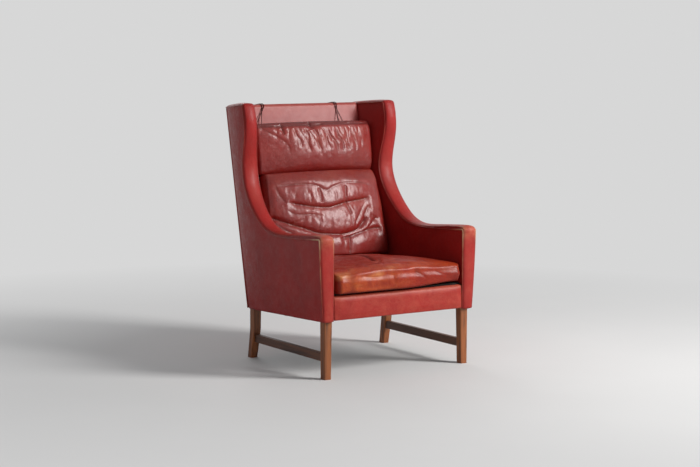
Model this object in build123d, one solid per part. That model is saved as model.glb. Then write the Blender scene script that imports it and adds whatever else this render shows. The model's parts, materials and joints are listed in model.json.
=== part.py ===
from build123d import *
import os
from math import acos, atan2, cos, degrees, hypot, pi, radians, sin

# High-backed wing chair in leather on a low wooden underframe, with a loose seat cushion, a loose
# back cushion and a neck pillow that hangs on two laces with counterweights behind the back.
# Millimetres, +Z up, the front faces -Y. While a piece is made, its depth is measured back from
# the plane of the arm fronts; save() moves it so that the origin lies under the chair's middle.

# Overall form of the body, as depths and heights in the side view
overall_height = 1030
body_bottom_front = 224.5
body_bottom_rear = 202
rear_foot_depth = 582
rear_top_depth = 778
rear_top_drop = 18
rear_top_height = overall_height - rear_top_drop

# Front edge of one side: arm top, sweep and wing
arm_front_height = 547
arm_low_depth = 270
arm_low_height = 530
bend_depth = 400
bend_height = 546
sweep_depth = 480
sweep_height = 596
waist_depth = 582
waist_height = 765
nose_depth = 561
nose_height = 925
wing_tip_depth = 581
arm_corner_radius = 17
wing_corner_radius = 15
rear_corner_radius = 12

# Half widths of the body: outside and inside of one side, at its front edge and at its rear
outer_front_low = 351.5
outer_front_high = 367.5
outer_rear_low = 345
outer_rear_high = 331
inner_front_low = 305.5
inner_front_high = 316
inner_rear_low = 285
inner_rear_high = 268
outer_flare_depth = 200
inner_flare_depth = 160
taper_power = 1.5

# Upholstery
leather = 2
band_thickness = 8
piping_width = 5
piping_height = 2.2
piping_inset = 3.5
back_thickness = 68
back_crest_rise = 6
back_front_radius = 16
back_rear_radius = 12
joint_gap = 0.3
seam_gap = 0.5

# Wooden frame inside the body
rail_lift = 3
rail_thickness = 26
rail_height = 85
side_rail_inside = 312
front_post_thickness = 30
front_post_front = 10
front_post_depth = 40
post_top_drop = 20
back_post_inside = 296
back_post_thickness = 28
back_post_rear = 8
back_post_depth = 24
back_post_top_drop = 22
back_rail_thickness = 22
top_rail_height = 60
top_rail_drop = 18
lower_rail_place = 125
lower_rail_height = 50
arm_rail_length = 350
wing_board_cover = 17
wing_board_edge = 10
wing_board_width = 40
corner_block_leg = 55
corner_block_low = 12
corner_block_height = 60

# Seat and back suspension, deck and dust cover
strap_thickness = 3
strap_width = 50
strap_hold = 18
cross_straps = 6
long_straps = 6
back_cross_straps = 5
back_long_straps = 4
deck_thickness = 8
dust_cover_thickness = 1.5
dust_cover_margin = 9

# Apron under the front of the cushion
apron_setback = 1.5
apron_thickness = 18.5
apron_height = 97
apron_top_radius = 13

# Legs, stretchers and the bolts that hold the legs to the frame
leg_top = 36
leg_foot = 31
leg_block_height = 257.5
leg_edge_radius = 5
leg_outside = 339
front_leg_front = 12.4
rear_leg_rear = 577
rear_leg_kick = 19
rear_leg_kick_height = 118
rear_leg_bend_radius = 150
stretcher_height = 33
stretcher_thickness = 19
stretcher_middle = 82.5
stretcher_edge_radius = 2.5
tenon_length = 13
tenon_height = 23
tenon_thickness = 9
bolt_radius = 5
bolt_half_length = 42
bolt_clearance = 0.15
front_bolt_inset = 15
rear_bolt_inset = 21

# Seat cushion, measured in the tilted seat plane
cushion_half_width = 300
cushion_overhang = 20
cushion_rear_depth = 534
cushion_side_height = 80
cushion_crown_rise = 37
cushion_base_inset = 5
cushion_edge_radius = 14

# Back cushion, measured along the raked back
back_cushion_foot = 176
back_cushion_top = 528
back_cushion_half_width = 288
back_cushion_base_inset = 27
back_cushion_side_thickness = 78
back_cushion_crown_rise = 36
back_cushion_edge_radius = 14

# Neck pillow, measured along the raked back
pillow_height = 208
pillow_half_width = 280.5
pillow_base_inset = 23
pillow_side_thickness = 56
pillow_crown_rise = 32
pillow_edge_radius = 9
cushion_cover = 1.5

# Laces and counterweights
lace_radius = 1.5
lace_pillow_places = {"left": -235, "right": 163}
lace_top_places = {"left": -198, "right": 157}
lace_pillow_spread = 13
lace_top_spread = 5
lace_pillow_depth = 13
lace_rear_length = 125
lace_sides = 8
weight_width = 64
weight_thickness = 18
weight_height = 112
weight_edge_radius = 6
weight_wall = 3

# Room for cutting tools that must pass right through a piece, and how upright a long edge is
overrun = 20
upright_share = 0.9

# Forms of the soft pieces, front or foot first: place along the length, then widest width,
# thickness at the sides and rise of the crown there, each as a share of its named size
seat_cushion_shares = (
    (0, 0.915, 0.9, 0.25),
    (0.02, 0.955, 0.97, 0.36),
    (0.06, 0.985, 1, 0.52),
    (0.2, 1, 1, 0.9),
    (0.4, 0.985, 1, 1),
    (0.6, 0.98, 1, 0.86),
    (0.82, 0.975, 0.98, 0.5),
    (0.94, 0.95, 0.96, 0.3),
    (1, 0.9, 0.93, 0.2),
)
back_cushion_shares = (
    (0, 0.95, 0.96, 0.86),
    (0.14, 0.985, 1.02, 0.96),
    (0.3, 1, 1.02, 1),
    (0.44, 0.998, 1, 1),
    (0.62, 0.985, 0.98, 0.98),
    (0.8, 0.965, 0.95, 0.96),
    (0.93, 0.945, 0.88, 0.86),
    (1, 0.925, 0.74, 0.66),
)
pillow_shares = (
    (0, 0.97, 0.6, 0.52),
    (0.1, 0.985, 0.84, 0.8),
    (0.36, 0.998, 1, 0.98),
    (0.64, 1, 1.02, 1),
    (0.88, 0.99, 0.9, 0.8),
    (1, 0.975, 0.72, 0.5),
)


def between(low, high, share):
    return low + (high - low) * share


rear_rise = rear_top_height - body_bottom_rear
rake_run = rear_top_depth - rear_foot_depth
rake_degrees = degrees(atan2(rake_run, rear_rise))
pitch_degrees = degrees(atan2(body_bottom_front - body_bottom_rear, rear_foot_depth))
rake = radians(rake_degrees)
back_across = back_thickness * cos(rake)
back_length = hypot(rake_run, rear_rise)
strap_low = rail_lift + rail_height
strap_layer = strap_thickness + joint_gap
deck_low = strap_low + 2 * strap_layer
deck_top = deck_low + deck_thickness
back_strap_rear = back_post_rear + back_post_depth


def rear_depth(height):
    return rear_foot_depth + rake_run * (height - body_bottom_rear) / rear_rise


def bottom_height(depth):
    return between(body_bottom_front, body_bottom_rear, depth / rear_foot_depth)


def top_height(depth):
    share = (depth - wing_tip_depth) / (rear_top_depth - wing_tip_depth)
    return between(overall_height, rear_top_height, share)


def half_width(low, high, height):
    return between(low, high, (height - body_bottom_rear) / rear_rise)


def outer_front(height):
    left_to_rise = max(0, (arm_front_height - height) / (arm_front_height - body_bottom_front))
    return outer_front_high - (outer_front_high - outer_front_low) * left_to_rise ** taper_power


def inner_front(height):
    above_arm = max(0, (height - arm_front_height) / (overall_height - arm_front_height))
    return between(inner_front_low, inner_front_high, above_arm)


# The seat plane runs through the bottom edge of the body and falls to the rear. The back plane is
# the rear face of the body: its +Z runs up the rake and its -Y points forward.
seat_plane = Location((0, 0, body_bottom_front), (-pitch_degrees, 0, 0))
back_plane = Location((0, rear_foot_depth, body_bottom_rear), (-rake_degrees, 0, 0))


def slab(x_low, x_high, y_low, y_high, z_low, z_high):
    size = (x_high - x_low, y_high - y_low, z_high - z_low)
    middle = ((x_low + x_high) / 2, (y_low + y_high) / 2, (z_low + z_high) / 2)
    return Pos(*middle) * Box(*size)


def side_profile():
    """Side view of one side of the body, as a face of depths and heights."""
    front_bottom = (0, body_bottom_front)
    front_top = (0, arm_front_height)
    wing_top = (wing_tip_depth, overall_height)
    rear_top = (rear_top_depth, rear_top_height)
    rear_bottom = (rear_foot_depth, body_bottom_rear)
    front_edge = Spline(
        front_top,
        (arm_low_depth, arm_low_height),
        (bend_depth, bend_height),
        (sweep_depth, sweep_height),
        (waist_depth, waist_height),
        (nose_depth, nose_height),
        wing_top,
    )
    straight = Polyline(wing_top, rear_top, rear_bottom, front_bottom, front_top)
    face = make_face(front_edge + straight)
    corners = ((front_top, arm_corner_radius), (wing_top, wing_corner_radius), (rear_top, rear_corner_radius))
    for point, radius in corners:
        face = fillet(face.vertices().sort_by_distance(point)[0], radius)
    return face


def side_block(shift=0):
    """The side profile as a block across one side, moved in by shift from its front and top edges."""
    return extrude(Plane.YZ * side_profile(), outer_front_high + overrun).moved(Location((0, shift, -shift)))


def outer_line(height, inset):
    front_x = outer_front(height) - inset
    rear_x = half_width(outer_rear_low, outer_rear_high, height) - inset
    return flared_line(front_x, rear_x, rear_depth(height), outer_flare_depth, height)


def inner_line(height, inset):
    front_x = inner_front(height) + inset
    rear_x = half_width(inner_rear_low, inner_rear_high, height) + inset
    return flared_line(front_x, rear_x, rear_depth(height) - back_thickness, inner_flare_depth, height)


def flared_line(front_x, rear_x, rear, flare_depth, height):
    """Edges in plan: straight from the front, then curving in to the rear, with room to cut at both ends."""
    front = (front_x, -overrun, height)
    flare = (front_x, rear - flare_depth, height)
    control = (front_x, rear - flare_depth / 2, height)
    end = (rear_x, rear, height)
    past = (rear_x, rear_depth(height) + overrun, height)
    return [Line(front, flare), Bezier(flare, control, end), Line(end, past)], front, past


def wall(line, inset, other_line, other_inset):
    """Solid between two lines of the plan, lofted through the height of the body."""
    middle_low = between(body_bottom_rear, arm_front_height, 1 / 2)
    middle_high = between(arm_front_height, overall_height, 1 / 2)
    low = body_bottom_rear - overrun
    high = overall_height + overrun
    sections = []
    for height in (low, middle_low, arm_front_height, middle_high, high):
        edges, front, past = line(height, inset)
        other_edges, other_front, other_past = other_line(height, other_inset)
        joined = edges + [Line(past, other_past)] + other_edges
        sections.append(make_face(joined + [Line(other_front, front)]))
    return loft(sections)


def between_sides(gap, low_width=inner_rear_low, high_width=inner_rear_high):
    """Wedge across the chair, as wide as the back between its sides at each height, less a gap."""
    low = body_bottom_rear - overrun
    high = overall_height + overrun
    low_x = half_width(low_width, high_width, low) - gap
    high_x = half_width(low_width, high_width, high) - gap
    outline = make_face(Polyline((-low_x, low), (low_x, low), (high_x, high), (-high_x, high), (-low_x, low)))
    return extrude(Plane.XZ * outline, -(rear_top_depth + overrun))


def back_profile():
    """Side view of the upholstered back, as a face of depths and heights, with its domed top edge."""
    foot_height = bottom_height(rear_foot_depth)
    rear_foot = (rear_depth(foot_height), foot_height)
    front_foot = (rear_foot[0] - back_thickness, foot_height)
    top = top_height(rear_top_depth - back_thickness / 2) + back_crest_rise
    front_top = (rear_depth(top) - back_thickness, top)
    rear_top = (rear_top_depth, rear_top_height)
    face = make_face(Polyline(rear_foot, front_foot, front_top, rear_top, rear_foot))
    for point, radius in ((front_top, back_front_radius), (rear_top, back_rear_radius)):
        face = fillet(face.vertices().sort_by_distance(point)[0], radius)
    return face


def back_block(shift=0):
    """The back profile as a block across the chair, moved in by shift from its front and top."""
    block = extrude(Plane.YZ * back_profile(), outer_front_high, both=True)
    return block.moved(Location((0, shift, -shift)))


def above_seat_plane(low, front=-overrun):
    """Block that holds all that lies above a level of the tilted seat plane and behind a depth."""
    wide = outer_front_high + overrun
    return seat_plane * slab(-wide, wide, front, 2 * rear_top_depth, low, 2 * overall_height)


def ahead_of_rear(gap):
    """Block that holds all that lies ahead of the raked rear face by at least a gap."""
    wide = outer_front_high + overrun
    return back_plane * slab(-wide, wide, -2 * rear_top_depth, -gap, -overall_height, 2 * overall_height)


def below_top(drop):
    """Block that holds all that lies below the sloping top edge of the wings by at least a drop."""
    front, rear = -overrun, rear_top_depth + 2 * overrun
    corners = ((front, 0), (rear, 0), (rear, top_height(rear) - drop), (front, top_height(front) - drop))
    face = make_face(Polyline(*corners, close=True))
    return extrude(Plane.YZ * face, outer_front_high + overrun, both=True)


def without(piece, tools):
    """The piece with every tool cut away, one after another."""
    for tool in tools:
        piece = piece - tool
    return piece


def strap_places(count, low, high):
    """Middles of straps spread evenly from low to high."""
    pitch = (high - low) / count
    return [low + pitch * (index + 1 / 2) for index in range(count)]


def soft_block(shares, length, width, base_inset, side_thickness, rise, edge_radius, inset=0):
    """Crowned cushion that lies on the XZ plane, rises to -Y and is lofted along Z from its foot.

    An inset gives the filling, which is smaller all round by the thickness of the cover.
    """
    faces = []
    for place_share, width_share, side_share, rise_share in shares:
        place = between(inset, length - inset, place_share)
        widest = width * width_share - inset
        base = widest - base_inset * side_share
        corner = widest - base_inset * side_share / 2
        side = side_thickness * side_share - inset
        crown = side + rise * rise_share
        middle = (inset + side) / 2
        outline = [
            Line((-base, -inset, place), (base, -inset, place)),
            ThreePointArc((base, -inset, place), (widest, -middle, place), (corner, -side, place)),
            ThreePointArc((corner, -side, place), (0, -crown, place), (-corner, -side, place)),
            ThreePointArc((-corner, -side, place), (-widest, -middle, place), (-base, -inset, place)),
        ]
        faces.append(make_face(outline))
    block = loft(faces)
    ends = block.faces().sort_by(Axis.Z)
    return fillet(ends[0].edges() + ends[-1].edges(), edge_radius - inset)


def cushion_parts(place, sizes):
    """Leather cover and filling of one loose cushion, set in its place."""
    filling = soft_block(*sizes, inset=cushion_cover)
    return place * (soft_block(*sizes) - filling), place * filling


def post_edges(leg):
    """The long edges of a leg, which run up it."""
    return leg.edges().filter_by(lambda edge: abs(edge.tangent_at(1 / 2).Z) > upright_share)


def make_front_leg():
    """Front leg that tapers to the foot on its two inner faces, without its mortise and bolt hole."""
    outside, front = leg_outside, front_leg_front
    faces = []
    for height, width in ((0, leg_foot), (leg_block_height, leg_top)):
        faces.append(Pos(outside - width / 2, front + width / 2, height) * Rectangle(width, width))
    return fillet(post_edges(loft(faces)), leg_edge_radius) - above_seat_plane(rail_lift)


def make_rear_leg():
    """Rear leg that stands upright to below its stretcher and kicks back to the foot."""
    top = leg_block_height
    rear, front = rear_leg_rear, rear_leg_rear - leg_top
    bends = (rear, rear_leg_kick_height), (front, rear_leg_kick_height)
    foot = rear + rear_leg_kick
    corners = ((rear, top), bends[0], (foot, 0), (foot - leg_foot, 0), bends[1], (front, top))
    side = make_face(Polyline(*corners, close=True))
    for bend in bends:
        side = fillet(side.vertices().sort_by_distance(bend)[0], rear_leg_bend_radius)
    outside = leg_outside
    view = make_face(
        Polyline((outside, 0), (outside, top), (outside - leg_top, top), (outside - leg_foot, 0), close=True)
    )
    leg = extrude(Plane.YZ * side, outside + overrun) & extrude(Plane.XZ * view, -(foot + overrun))
    return fillet(post_edges(leg), leg_edge_radius) - above_seat_plane(rail_lift)


def make_underframe():
    """Legs, stretcher and bolts of the right side. The bolts run up into the rail frame."""
    front_leg, rear_leg = make_front_leg(), make_rear_leg()
    middle = leg_outside - leg_top / 2
    half = stretcher_thickness / 2
    low, high = stretcher_middle - stretcher_height / 2, stretcher_middle + stretcher_height / 2
    bar = slab(middle - half, middle + half, front_leg_front, rear_leg_rear, low, high)
    bar = fillet(bar.edges().filter_by(Axis.Y), stretcher_edge_radius)
    bar = (bar - front_leg - rear_leg).solids().sort_by(SortBy.VOLUME)[-1]
    span = bar.bounding_box()
    half = tenon_thickness / 2
    front, rear = span.min.Y - tenon_length, span.max.Y + tenon_length
    low, high = stretcher_middle - tenon_height / 2, stretcher_middle + tenon_height / 2
    stretcher = bar + slab(middle - half, middle + half, front, rear, low, high)
    front_depth = front_leg_front + leg_top / 2
    rear_bolt_depth = rear_leg_rear - leg_top / 2
    places = [
        Pos(leg_outside - front_bolt_inset, front_depth, bottom_height(front_depth) + rail_lift),
        Pos(leg_outside - rear_bolt_inset, rear_bolt_depth, bottom_height(rear_bolt_depth) + rail_lift),
    ]
    bolts = [place * Cylinder(bolt_radius, 2 * bolt_half_length) for place in places]
    holes = [place * Cylinder(bolt_radius + bolt_clearance, 2 * bolt_half_length) for place in places]
    return front_leg - stretcher - holes[0], rear_leg - stretcher - holes[1], stretcher, bolts, holes


def make_side_frame(holes):
    """Posts, rails and boards of the right side of the wooden frame."""
    post_rear = front_post_front + front_post_depth
    post_front = back_post_rear + back_post_depth
    inside = side_rail_inside
    frame = {}
    post_top = arm_front_height - post_top_drop
    frame["front_post"] = slab(
        inside, inside + front_post_thickness, front_post_front, post_rear, 0, post_top
    ) & above_seat_plane(rail_lift)
    post_outside = back_post_inside + back_post_thickness
    back_post = back_plane * slab(
        back_post_inside, post_outside, -post_front, -back_post_rear, -overrun, back_length
    )
    frame["back_post"] = back_post & above_seat_plane(rail_lift) & below_top(back_post_top_drop)
    side_rail = seat_plane * slab(
        inside, inside + rail_thickness, post_rear, rear_foot_depth, rail_lift, rail_lift + rail_height
    )
    frame["side_seat_rail"] = side_rail & ahead_of_rear(post_front)
    edge = wall(outer_line, wing_board_cover, inner_line, wing_board_cover) & side_block(wing_board_edge)
    edge = (edge - side_block(wing_board_edge + wing_board_width)) & ahead_of_rear(post_front)
    wide = outer_front_high + overrun
    arm_end = post_rear + arm_rail_length
    arm_zone = slab(0, wide, post_rear, arm_end, sweep_depth / 2, overall_height)
    wing_zone = slab(0, wide, arm_end, rear_top_depth, sweep_depth / 2, overall_height + overrun)
    frame["arm_rail"] = edge & arm_zone
    frame["wing_board"] = edge & wing_zone
    return {name: without(piece, holes) for name, piece in frame.items()}


def make_cross_frame(holes):
    """Rails between the two sides, their corner blocks and the straps of the seat and the back."""
    inside = side_rail_inside
    rail_rear = front_post_front + front_post_depth
    rail_front = rail_rear - rail_thickness
    high = rail_lift + rail_height
    post_front = back_post_rear + back_post_depth
    back_inside = back_post_inside
    rear_zone = back_plane * slab(
        -back_inside, back_inside, -post_front, back_rail_thickness - post_front, -overrun, back_length
    )
    everywhere = inside + overrun
    rail_zone = seat_plane * slab(-everywhere, everywhere, 0, 2 * rear_foot_depth, rail_lift, high)
    top = back_length - top_rail_drop
    frame = {
        "front_seat_rail": seat_plane * slab(-inside, inside, rail_front, rail_rear, rail_lift, high),
        "rear_seat_rail": rear_zone & rail_zone,
        "lower_back_rail": rear_zone
        & back_plane * across_back(post_front, lower_rail_place, lower_rail_place + lower_rail_height),
        "top_back_rail": rear_zone & back_plane * across_back(post_front, top - top_rail_height, top),
    }
    blocks = []
    low = corner_block_low
    for turn, depth in ((1, rail_rear), (-1, rear_foot_depth - back_post_depth)):
        along_rail = (inside - corner_block_leg, depth)
        along_side = (inside, depth + turn * corner_block_leg)
        corner = Polyline((inside, depth), along_rail, along_side, close=True)
        block = seat_plane * extrude(Pos(0, 0, low) * make_face(corner), corner_block_height, dir=(0, 0, 1))
        block = block & ahead_of_rear(post_front)
        block = without(block, holes)
        blocks += [block.solid(), mirrored(block).solid()]
    frame["corner_blocks"] = Compound(blocks)
    return frame


def across_back(rear, low, high):
    """Block across the whole back, from a distance ahead of its rear face, between two places up it."""
    wide = back_post_inside + back_post_thickness
    return slab(-wide, wide, -rear, 0, low, high)


def make_seat_straps():
    """Webbing of the seat: straps from front to rear, and straps across that lie on them."""
    half = strap_width / 2
    front, rear = front_post_front + front_post_depth, rear_foot_depth - back_post_depth
    low, middle = strap_low, strap_low + strap_layer
    side = side_rail_inside + strap_hold
    straps = []
    for place in strap_places(long_straps, -side_rail_inside + half, side_rail_inside - half):
        strap = slab(
            place - half, place + half, front - strap_hold, rear + overrun, low, low + strap_thickness
        )
        straps.append(seat_plane * strap & ahead_of_rear(back_post_rear + strap_thickness))
    for place in strap_places(cross_straps, front, rear):
        strap = slab(-side, side, place - half, place + half, middle, middle + strap_thickness)
        straps.append(seat_plane * strap)
    return straps


def make_back_straps():
    """Webbing of the back: straps across on the posts, and straps up and down that lie on them."""
    half = strap_width / 2
    rear = -back_strap_rear
    middle = rear - strap_layer
    low = lower_rail_place + lower_rail_height
    high = back_length - top_rail_drop - top_rail_height
    side = back_post_inside + strap_hold
    straps = []
    for place in strap_places(back_cross_straps, low, high):
        strap = slab(-side, side, rear - strap_thickness, rear, place - half, place + half)
        straps.append(back_plane * strap)
    for place in strap_places(back_long_straps, -back_post_inside + half, back_post_inside - half):
        across = slab(
            place - half, place + half, middle - strap_thickness, middle, low - strap_hold, high + strap_hold
        )
        straps.append(back_plane * across)
    return straps


def make_side_upholstery(side_frame):
    """Padding, covers, edge band and piping of the right side, around the wooden pieces inside it."""
    rail_outside = side_rail_inside + rail_thickness
    rail_room = seat_plane * slab(0, rail_outside, -overrun, 2 * rear_top_depth, -overrun, deck_low)
    post_outside = back_post_inside + back_post_thickness
    post_room = back_plane * slab(
        0, post_outside, -(back_strap_rear + 2 * strap_layer), overrun, -overrun, 2 * back_length
    )
    inner_pieces = [rail_room, post_room]
    inner_pieces += [side_frame[name] for name in ("front_post", "arm_rail", "wing_board")]
    whole = side_block() & ahead_of_rear(leather)
    behind_band = whole & side_block(band_thickness)
    padding = wall(outer_line, leather, inner_line, leather) & behind_band
    padding = without(padding & above_seat_plane(rail_lift), inner_pieces)
    outer_cover = wall(outer_line, 0, outer_line, leather) & behind_band
    inner_cover = wall(inner_line, 0, inner_line, leather) & behind_band & above_seat_plane(deck_low)
    inner_cover = inner_cover & ahead_of_rear(back_strap_rear + 2 * strap_layer)
    band = (wall(outer_line, 0, inner_line, 0) & whole) - side_block(band_thickness)
    welt = (whole & side_block(piping_inset)) - side_block(piping_inset + piping_width)
    outer_piping = wall(outer_line, -piping_height, outer_line, 0) & welt
    inner_piping = wall(inner_line, -piping_height, inner_line, 0) & welt
    inner_piping = inner_piping & ahead_of_rear(back_across + joint_gap)
    return {
        "side_padding": padding,
        "outer_side_cover": outer_cover,
        "inner_side_cover": inner_cover,
        "edge_band": band,
        "outer_piping": outer_piping,
        "inner_piping": inner_piping,
    }


def make_back_upholstery(inner_pieces):
    """Padding and leather of the inside back, which laps over the top, and the outside back panel."""
    body = back_block() & between_sides(0) & above_seat_plane(deck_low) & ahead_of_rear(leather)
    under_cover = body & back_block(leather)
    rear = back_strap_rear + 2 * strap_layer
    crest = back_plane * slab(
        -outer_front_high, outer_front_high, -back_thickness, 0, back_length - top_rail_drop, 2 * back_length
    )
    padding = (under_cover & ahead_of_rear(rear)) + (under_cover & crest)
    wide = outer_front_high + overrun
    panel = extrude(Plane.YZ * side_profile(), wide, both=True) - ahead_of_rear(leather)
    return {
        "back_padding": without(padding, inner_pieces),
        "inner_back_cover": body - back_block(leather),
        "outer_back_cover": panel & between_sides(0, outer_rear_low, outer_rear_high),
    }


def make_seat_base(sides, legs, holes):
    """Deck under the seat cushion, dust cover under the frame, and the padded apron."""
    wide = outer_front_low
    front = apron_setback + apron_thickness + joint_gap
    deck = seat_plane * slab(-wide, wide, front, rear_foot_depth, deck_low, deck_top)
    deck = without(deck & ahead_of_rear(back_across + joint_gap), sides)
    deck = deck.solids().sort_by(SortBy.VOLUME)[-1]
    cover_x = outer_rear_low - dust_cover_margin
    rear = rear_foot_depth - dust_cover_margin
    dust_cover = seat_plane * slab(
        -cover_x, cover_x, front, rear, rail_lift - dust_cover_thickness, rail_lift
    )
    face = make_face(
        Polyline((0, 0), (0, apron_height), (apron_thickness, apron_height), (apron_thickness, 0), close=True)
    )
    face = fillet(face.vertices().sort_by_distance((0, apron_height))[0], apron_top_radius)
    half = inner_front_low - piping_height - seam_gap
    block = seat_plane * Pos(0, apron_setback, 0) * extrude(Plane.YZ * face, half, both=True)
    lowered = block.moved(Location((0, leather, -leather)))
    return {
        "seat_deck": deck,
        "dust_cover": without(dust_cover, legs + holes),
        "apron_cover": block - lowered,
        "apron_padding": (block & lowered) & above_seat_plane(rail_lift),
    }


def make_cushions():
    """The three loose cushions. The back cushion stands on the rear of the seat cushion."""
    length = cushion_rear_depth + cushion_overhang
    seat_sizes = (
        seat_cushion_shares,
        length,
        cushion_half_width,
        cushion_base_inset,
        cushion_side_height,
        cushion_crown_rise,
        cushion_edge_radius,
    )
    stand = seat_plane * Pos(0, -cushion_overhang, deck_top + joint_gap) * Rot(-90, 0, 0)
    seat = cushion_parts(stand, seat_sizes)
    back_sizes = (
        back_cushion_shares,
        back_cushion_top - back_cushion_foot,
        back_cushion_half_width,
        back_cushion_base_inset,
        back_cushion_side_thickness,
        back_cushion_crown_rise,
        back_cushion_edge_radius,
    )
    lean = back_plane * Pos(0, -back_across - joint_gap, back_cushion_foot)
    back = cushion_parts(lean, back_sizes)
    pillow_sizes = (
        pillow_shares,
        pillow_height,
        pillow_half_width,
        pillow_base_inset,
        pillow_side_thickness,
        pillow_crown_rise,
        pillow_edge_radius,
    )
    hang = back_plane * Pos(0, -back_across - joint_gap, back_cushion_top + seam_gap)
    pillow = cushion_parts(hang, pillow_sizes)
    return {"seat_cushion": seat, "back_cushion": back, "neck_pillow": pillow}


def top_corners():
    """Centres of the two rounded corners of the back's top edge, front first, and the top's slope."""
    corners = [arc.arc_center for arc in back_profile().edges().filter_by(GeomType.CIRCLE)]
    front, rear = sorted(corners, key=lambda centre: centre.X)
    run, rise = rear.X - front.X, (rear.Y + back_rear_radius) - (front.Y + back_front_radius)
    return front, rear, atan2(rise, run)


def point_on(centre, radius, angle):
    return Vector(centre.X + radius * cos(angle), centre.Y + radius * sin(angle))


def rod(start, end):
    """Straight stretch of lace."""
    return extrude(Plane(origin=start, z_dir=end - start) * Circle(lace_radius), (end - start).length)


def make_lace(side):
    """One lace: two strands that cross in front, lie over the top edge and hang down behind."""
    front, rear, slope = top_corners()
    front_reach = back_front_radius + lace_radius + joint_gap
    rear_reach = back_rear_radius + lace_radius + joint_gap
    seam = back_cushion_top + seam_gap + pillow_height + lace_radius
    eyelet = (back_plane * Pos(0, -back_across - joint_gap - lace_pillow_depth, seam)).position
    low = Vector(eyelet.Y, eyelet.Z)
    away = low - front
    touch = atan2(away.Y, away.X) + 2 * pi - acos(front_reach / away.length)
    crest = pi / 2 + slope
    start = point_on(front, front_reach, touch)
    path = CenterArc(front, front_reach, degrees(touch), degrees(crest - touch))
    path += Line(point_on(front, front_reach, crest), point_on(rear, rear_reach, crest))
    path += CenterArc(rear, rear_reach, degrees(crest), -degrees(crest))
    path = Plane.YZ * path
    over = []
    front_strands = []
    rear_strands = []
    for turn in (-1, 1):
        top_x = lace_top_places[side] + turn * lace_top_spread
        pillow_x = lace_pillow_places[side] - turn * lace_pillow_spread
        ring = Plane(origin=path @ 0, z_dir=path % 0) * RegularPolygon(lace_radius, lace_sides)
        over.append(Pos(top_x, 0, 0) * sweep(ring, path))
        foot, head = Vector(pillow_x, low.X, low.Y), Vector(top_x, start.X, start.Y)
        front_strands.append(rod(foot, head - (head - foot).normalized() * lace_radius))
        end = Vector(top_x, rear.X + rear_reach, rear.Y)
        rear_strands.append(rod(end, end - Vector(0, 0, lace_rear_length)))
    middle = Pos(lace_top_places[side], rear.X + rear_reach, rear.Y - lace_rear_length - weight_height / 2)
    weight = Box(weight_width, weight_thickness, weight_height)
    weight = fillet(weight.edges().filter_by(Axis.Z), weight_edge_radius)
    wall_room = 2 * weight_wall
    core = Box(weight_width - wall_room, weight_thickness - wall_room, weight_height - wall_room)
    core = fillet(core.edges().filter_by(Axis.Z), weight_edge_radius - weight_wall)
    return {
        "front_lace": front_strands[0] + front_strands[1],
        "lace_over_back": Compound([strand.solid() for strand in over]),
        "rear_lace": Compound([strand.solid() for strand in rear_strands]),
        "counterweight": middle * (weight - core),
        "counterweight_core": middle * core,
    }


def mirrored(shape):
    return mirror(shape, about=Plane.YZ)


def add_pair(pieces, name, shape):
    pieces[f"right_{name}"] = shape
    pieces[f"left_{name}"] = mirrored(shape)


def make_chair():
    pieces = {}
    front_leg, rear_leg, stretcher, bolts, holes = make_underframe()
    add_pair(pieces, "front_leg", front_leg)
    add_pair(pieces, "rear_leg", rear_leg)
    add_pair(pieces, "stretcher", stretcher)
    pieces["leg_bolts"] = Compound([bolt.solid() for bolt in bolts + [mirrored(bolt) for bolt in bolts]])

    side_frame = make_side_frame(holes)
    for name, piece in side_frame.items():
        add_pair(pieces, name, piece)
    cross_frame = make_cross_frame(holes)
    pieces.update(cross_frame)
    seat_straps, back_straps = make_seat_straps(), make_back_straps()
    pieces["seat_webbing"] = Compound([strap.solid() for strap in seat_straps])
    pieces["back_webbing"] = Compound([strap.solid() for strap in back_straps])

    cross_pieces = [solid for piece in cross_frame.values() for solid in piece.solids()]
    for name, piece in make_side_upholstery(side_frame).items():
        add_pair(pieces, name, piece)
    pieces.update(make_back_upholstery(cross_pieces + back_straps))
    side = wall(outer_line, 0, inner_line, -joint_gap)
    legs = [front_leg, rear_leg, mirrored(front_leg), mirrored(rear_leg)]
    pieces.update(make_seat_base([side, mirrored(side)], legs, holes + [mirrored(hole) for hole in holes]))

    for name, (cover, filling) in make_cushions().items():
        pieces[f"{name}_cover"] = cover
        pieces[f"{name}_filling"] = filling
    for side in ("left", "right"):
        for name, piece in make_lace(side).items():
            pieces[f"{side}_{name}"] = piece
    return pieces


def write_pieces(pieces):
    """Write each piece, moved so that the origin lies under the middle of the chair's depth."""
    front = min(shape.bounding_box().min.Y for shape in pieces.values())
    rear = max(shape.bounding_box().max.Y for shape in pieces.values())
    to_middle = Location((0, -(front + rear) / 2, 0))
    os.makedirs("parts", exist_ok=True)
    for node, shape in pieces.items():
        export_step(shape.moved(to_middle), f"parts/{node}.step")


write_pieces(make_chair())
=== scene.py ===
import json
import math

import bmesh
import bpy
import numpy as np
from mathutils import Matrix, Vector


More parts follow.
